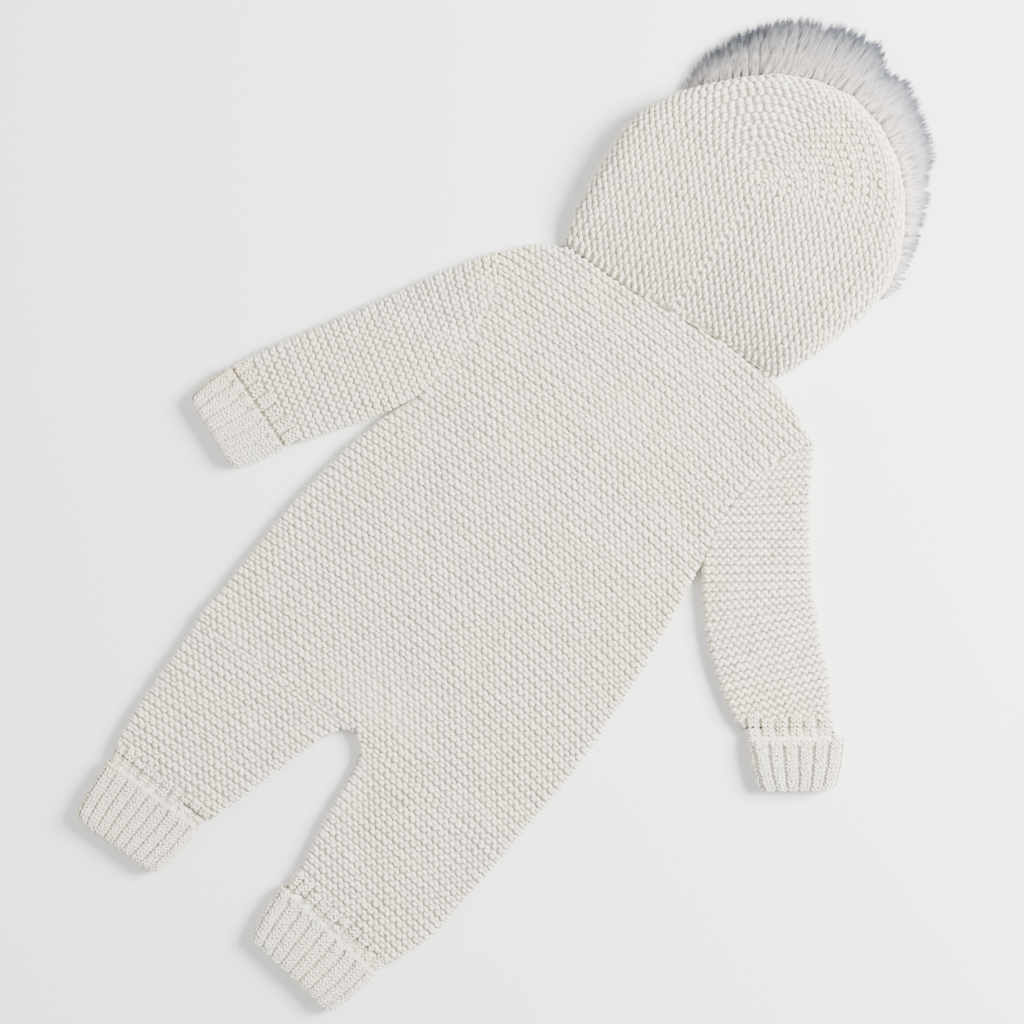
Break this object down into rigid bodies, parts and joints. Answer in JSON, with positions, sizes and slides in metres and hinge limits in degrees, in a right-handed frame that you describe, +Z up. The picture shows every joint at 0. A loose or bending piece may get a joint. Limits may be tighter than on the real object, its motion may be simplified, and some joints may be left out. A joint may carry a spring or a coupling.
{
  "type": "hooded knitted baby romper",
  "caption": "Chunky garter-stitch baby romper laid face down, with a fur-trimmed hood, long sleeves and turned-back ribbed cuffs.",
  "frame": {"origin": "middle of the whole garment's box, on the surface that it lies on", "axes": "+Y from the feet to the hood, the longest extent; +X across the garment; +Z up, out of the garment's back, the shortest extent"},
  "size_m": [0.5982, 0.881, 0.04],
  "materials": {
    "garter_wool": "thick cream garter-stitch knit, soft and matte",
    "rib_wool": "cream two-by-two ribbed knit, soft and matte",
    "fur": "long off-white faux fur with grey tips",
    "button": "satin, pale brown"
  },
  "bodies": {
    "root": {"back": "garter_wool", "band_button": "rib_wool", "band_buttonhole": "rib_wool", "button_1": "button", "button_2": "button", "button_3": "button", "button_4": "button", "button_5": "button", "button_6": "button", "cuff_leg_left": "rib_wool", "cuff_leg_right": "rib_wool", "cuff_sleeve_left": "rib_wool", "cuff_sleeve_right": "rib_wool", "front_left": "garter_wool", "front_right": "garter_wool", "fur_trim": "fur", "hood": "garter_wool", "sleeve_left": "garter_wool", "sleeve_right": "garter_wool"}
  },
  "joints": []
}
